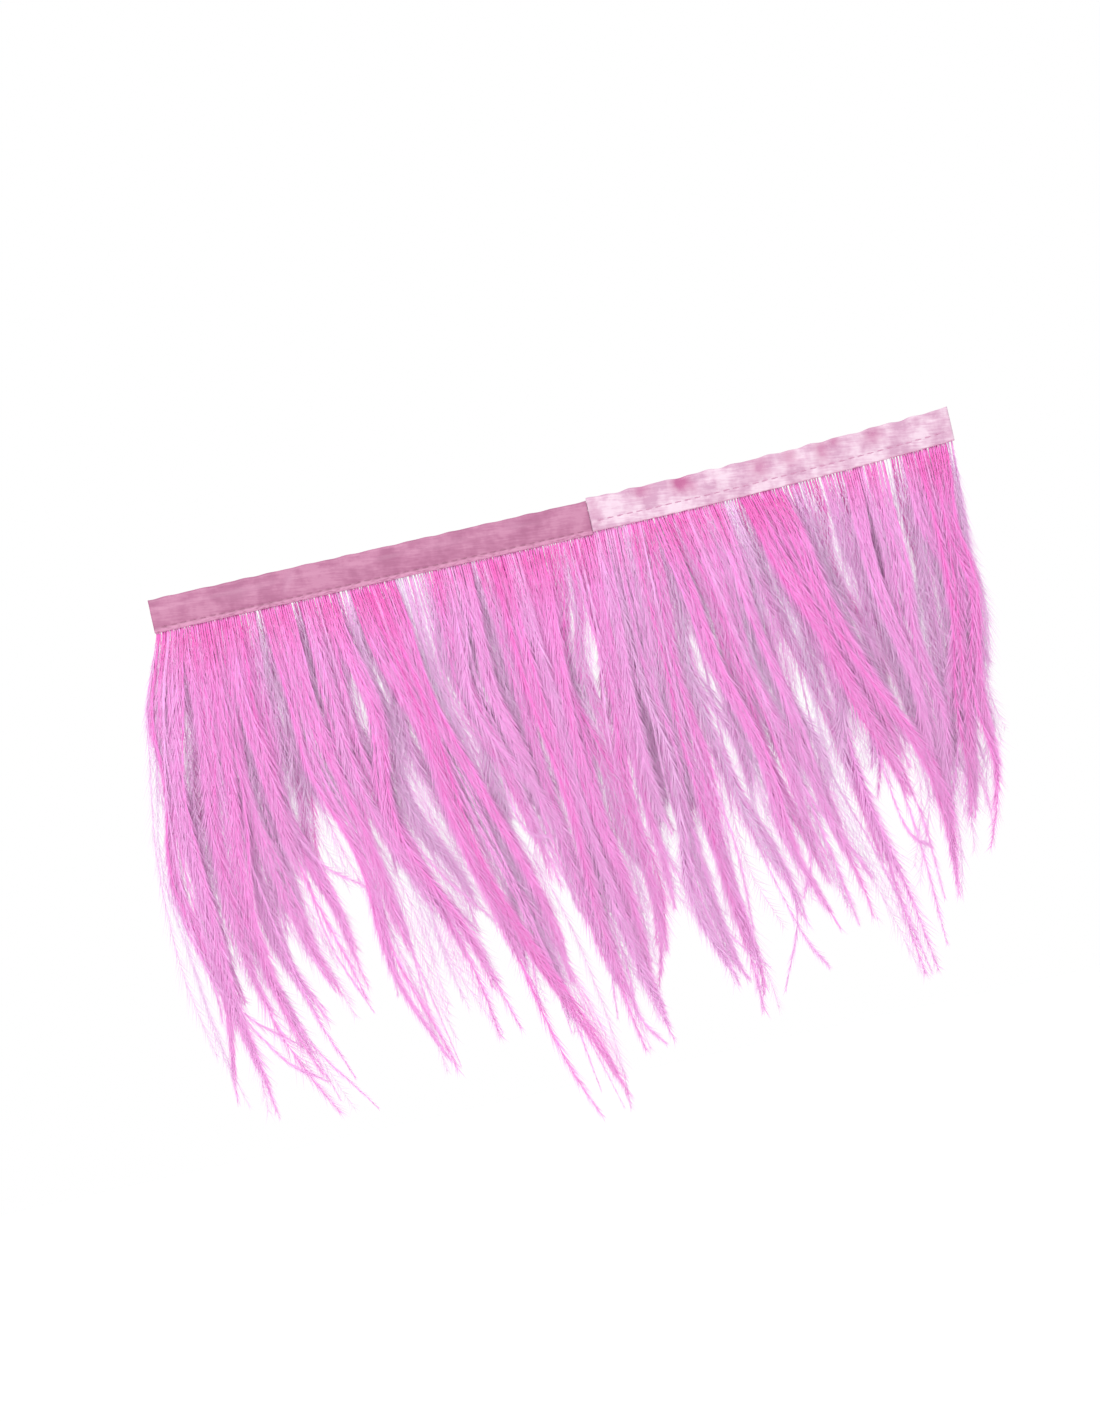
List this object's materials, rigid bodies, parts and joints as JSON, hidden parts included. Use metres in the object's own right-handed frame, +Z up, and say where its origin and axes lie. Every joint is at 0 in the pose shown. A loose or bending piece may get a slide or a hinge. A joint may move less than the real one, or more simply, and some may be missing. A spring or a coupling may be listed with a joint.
{
  "type": "feather fringe trim",
  "caption": "Cut length of ostrich feather fringe: dyed barbs on split quills, sewn into a folded satin ribbon and hanging from it in tapering locks.",
  "frame": {"origin": "middle of the ribbon's flat back face", "axes": "+X along the ribbon to the viewer's right, +Y out of the back of the ribbon, +Z up, so the barbs hang towards -Z"},
  "size_m": [0.2714, 0.0088, 0.1923],
  "materials": {
    "satin_dusty": "dusty pink satin, smooth",
    "satin_pale": "pale pink satin, glossy",
    "thread": "spun sewing thread",
    "quill": "dyed split quill, waxy",
    "barbs": "dyed ostrich barbs, soft and downy"
  },
  "bodies": {
    "ribbon": {"bobbin_thread_left": "thread", "bobbin_thread_right": "thread", "needle_thread_left": "thread", "needle_thread_right": "thread", "quill_1_back": "quill", "quill_1_front": "quill", "quill_2_back": "quill", "quill_2_front": "quill", "quill_3_back": "quill", "quill_3_front": "quill", "quill_4_back": "quill", "quill_4_front": "quill", "quill_5_back": "quill", "quill_5_front": "quill", "quill_6_back": "quill", "quill_6_front": "quill", "quill_7_back": "quill", "quill_7_front": "quill", "ribbon_left": "satin_dusty", "ribbon_right": "satin_pale"},
    "feather_1": {"barbs_1_back_d": "barbs", "barbs_1_back_e": "barbs", "barbs_1_front_a": "barbs", "barbs_1_front_b": "barbs", "barbs_1_front_c": "barbs"},
    "feather_2": {"barbs_2_back_c": "barbs", "barbs_2_back_d": "barbs", "barbs_2_back_e": "barbs", "barbs_2_front_a": "barbs", "barbs_2_front_b": "barbs"},
    "feather_3": {"barbs_3_back_b": "barbs", "barbs_3_back_c": "barbs", "barbs_3_front_a": "barbs"},
    "feather_4": {"barbs_4_back_d": "barbs", "barbs_4_back_e": "barbs", "barbs_4_back_f": "barbs", "barbs_4_front_a": "barbs", "barbs_4_front_b": "barbs", "barbs_4_front_c": "barbs"},
    "feather_5": {"barbs_5_back_e": "barbs", "barbs_5_back_f": "barbs", "barbs_5_back_g": "barbs", "barbs_5_back_h": "barbs", "barbs_5_front_a": "barbs", "barbs_5_front_b": "barbs", "barbs_5_front_c": "barbs", "barbs_5_front_d": "barbs"},
    "feather_6": {"barbs_6_back_c": "barbs", "barbs_6_back_d": "barbs", "barbs_6_back_e": "barbs", "barbs_6_back_f": "barbs", "barbs_6_front_a": "barbs", "barbs_6_front_b": "barbs"},
    "feather_7": {"barbs_7_back_b": "barbs", "barbs_7_back_c": "barbs", "barbs_7_front_a": "barbs"}
  },
  "joints": [
    {"name": "feather_1_swing", "type": "hinge", "parent": "ribbon", "child": "feather_1", "pos_m": [-0.113, -0.0009, -0.00535], "axis": [1, 0, 0], "range_deg": [-75, 75]},
    {"name": "feather_2_swing", "type": "hinge", "parent": "ribbon", "child": "feather_2", "pos_m": [-0.08175, -0.0009, -0.00535], "axis": [1, 0, 0], "range_deg": [-75, 75]},
    {"name": "feather_3_swing", "type": "hinge", "parent": "ribbon", "child": "feather_3", "pos_m": [-0.05425, -0.0009, -0.00535], "axis": [1, 0, 0], "range_deg": [-75, 75]},
    {"name": "feather_4_swing", "type": "hinge", "parent": "ribbon", "child": "feather_4", "pos_m": [-0.0205, -0.0009, -0.00535], "axis": [1, 0, 0], "range_deg": [-75, 75]},
    {"name": "feather_5_swing", "type": "hinge", "parent": "ribbon", "child": "feather_5", "pos_m": [0.0295, -0.0009, -0.00463], "axis": [1, 0, 0], "range_deg": [-75, 75]},
    {"name": "feather_6_swing", "type": "hinge", "parent": "ribbon", "child": "feather_6", "pos_m": [0.0825, -0.0009, -0.00365], "axis": [1, 0, 0], "range_deg": [-75, 75]},
    {"name": "feather_7_swing", "type": "hinge", "parent": "ribbon", "child": "feather_7", "pos_m": [0.118, -0.0009, -0.0022], "axis": [1, 0, 0], "range_deg": [-75, 75]}
  ]
}
